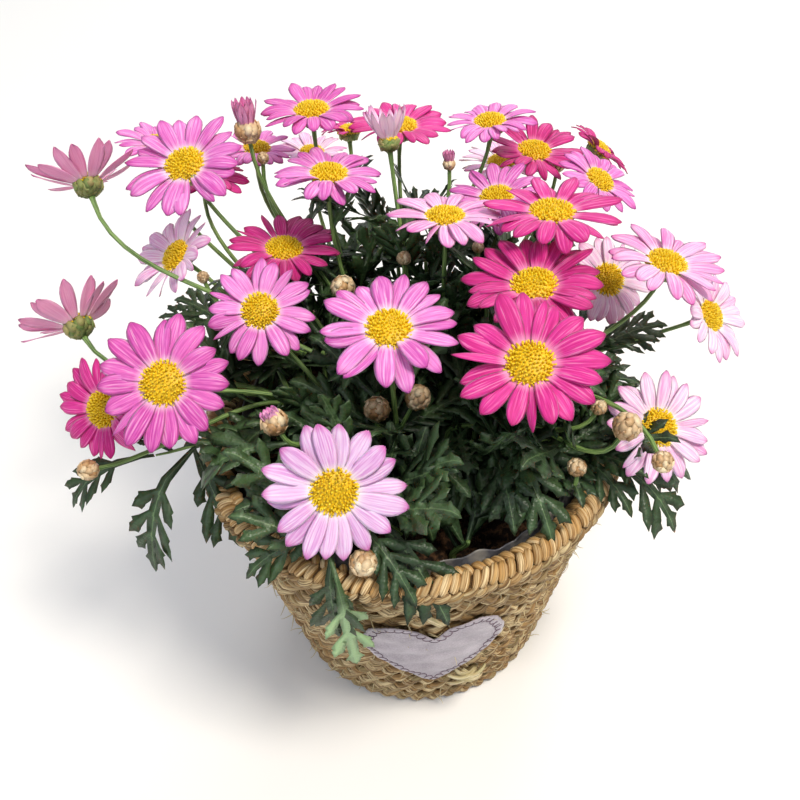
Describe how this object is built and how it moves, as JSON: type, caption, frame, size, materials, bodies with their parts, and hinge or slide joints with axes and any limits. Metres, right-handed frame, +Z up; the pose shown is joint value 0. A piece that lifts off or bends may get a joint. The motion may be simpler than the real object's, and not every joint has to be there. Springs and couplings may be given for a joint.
{
  "type": "potted marguerite daisy",
  "caption": "Bushy marguerite daisy in bloom, planted in a lined round basket of braided seagrass with a bare cloth heart and a knot of straw on its front.",
  "frame": {"origin": "centre of the underside of the basket's base, on the surface that the basket stands on", "axes": "+Z up along the basket's axis; -Y towards the front, where the cloth heart is; +X to the right as seen from the front"},
  "size_m": [0.3251, 0.2723, 0.2508],
  "materials": {
    "straw": "matte",
    "golden_straw": "satin",
    "film": "satin",
    "peat": "matte",
    "cloth": "matte",
    "stalk": "satin",
    "leaf": "satin",
    "petal_pale": "satin",
    "petal_pink": "satin",
    "petal_hot": "satin",
    "petal_magenta": "satin"
  },
  "bodies": {
    "root": {"basket_wall": "straw", "basket_base": "straw", "basket_rim": "golden_straw", "liner": "film", "soil": "peat", "heart_patch": "cloth", "straw_knot": "straw", "bloom_back_left_1": "petal_pink", "bloom_back_left_2": "petal_pink", "bloom_back_left_3": "petal_hot", "bloom_left_1": "petal_pink", "bloom_left_2": "petal_pale", "bloom_left_3": "petal_hot", "bloom_front_left_1": "petal_pink", "bloom_front_left_2": "petal_pink", "bloom_front_1": "petal_pale", "bloom_front_2": "petal_pink", "bloom_centre_left_1": "petal_magenta", "bloom_centre_left_2": "petal_pink", "bloom_back_inner_1": "petal_pink", "bloom_back_inner_2": "petal_pink", "bloom_back_inner_3": "petal_pink", "bloom_back_inner_4": "petal_pale", "bloom_back_1": "petal_hot", "bloom_back_2": "petal_pale", "bloom_back_3": "petal_hot", "bloom_back_4": "petal_pink", "bloom_centre_1": "petal_pale", "bloom_centre_2": "petal_pink", "bloom_centre_3": "petal_pale", "bloom_centre_4": "petal_magenta", "bloom_front_right_1": "petal_hot", "bloom_front_right_2": "petal_magenta", "bloom_front_right_3": "petal_hot", "bloom_back_right_1": "petal_magenta", "bloom_back_right_2": "petal_pink", "bloom_back_right_3": "petal_pale", "bloom_right_1": "petal_pale", "bloom_right_2": "petal_pale", "bloom_right_3": "petal_pale", "stalks_back_left": "stalk", "stalks_left": "stalk", "stalks_front_left": "stalk", "stalks_front": "stalk", "stalks_centre_left": "stalk", "stalks_back_inner": "stalk", "stalks_back": "stalk", "stalks_centre": "stalk", "stalks_front_right": "stalk", "stalks_back_right": "stalk", "stalks_right": "stalk", "leafy_shoot_left": "leaf", "leafy_shoot_front_left": "leaf", "leafy_shoot_front_right": "leaf", "leafy_shoot_right": "leaf", "leafy_shoot_right_high": "leaf", "leafy_shoot_left_high": "leaf", "leafy_shoot_middle_right": "leaf", "leafy_shoot_middle_back": "leaf", "leafy_shoot_back_right": "leaf"}
  },
  "joints": []
}
